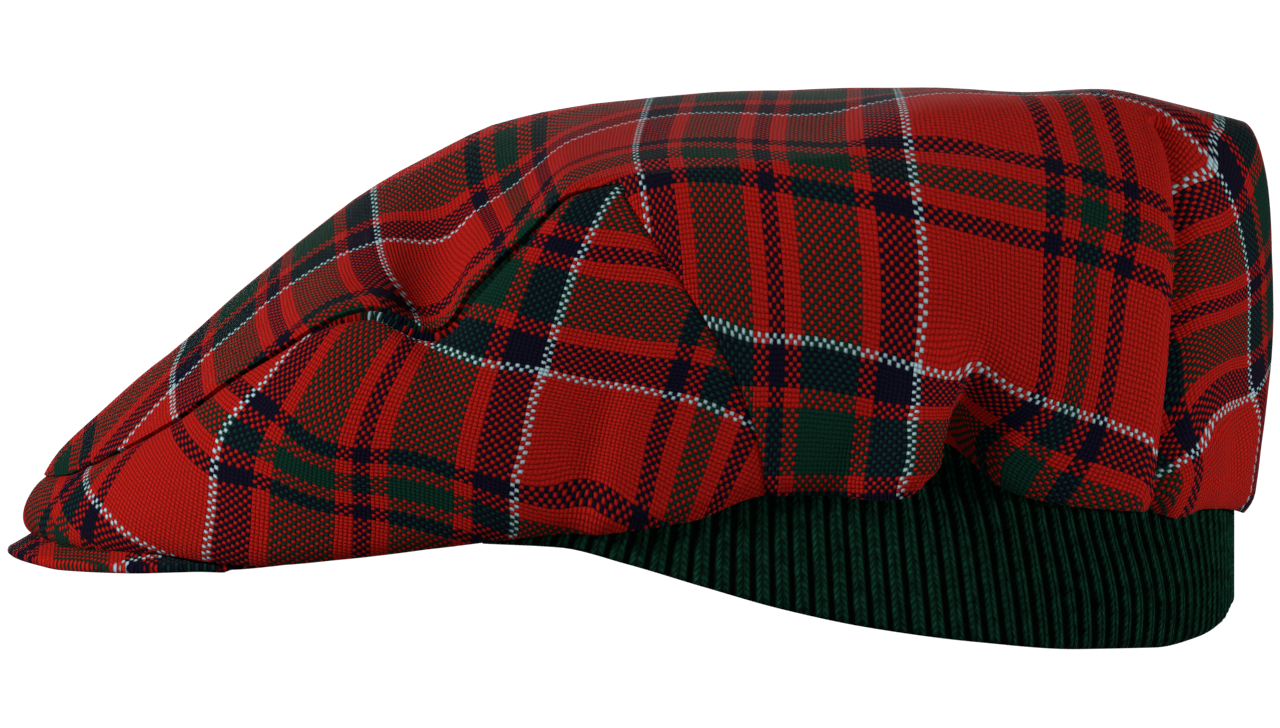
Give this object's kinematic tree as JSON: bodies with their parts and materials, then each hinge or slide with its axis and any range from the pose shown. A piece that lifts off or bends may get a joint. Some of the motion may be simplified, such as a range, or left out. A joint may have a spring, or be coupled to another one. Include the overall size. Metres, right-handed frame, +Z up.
{
  "type": "flat cap",
  "caption": "Tartan wool flat cap with side panels, a stiff cloth-covered peak and a ribbed knitted ear band pulled down below the rim.",
  "frame": {"origin": "centre of the head opening, at the level of the rim", "axes": "+Z up, the peak points to -Y, and the wearer's left is +X"},
  "size_m": [0.1844, 0.2811, 0.1228],
  "materials": {
    "tartan": "coarse plain-weave wool in a red tartan with green, navy and white lines",
    "knit": "bottle green one-by-one rib knit, slightly hairy"
  },
  "bodies": {
    "root": {"crown": "tartan", "side_panel_left": "tartan", "side_panel_right": "tartan", "peak": "tartan", "ear_band": "knit"}
  },
  "joints": []
}
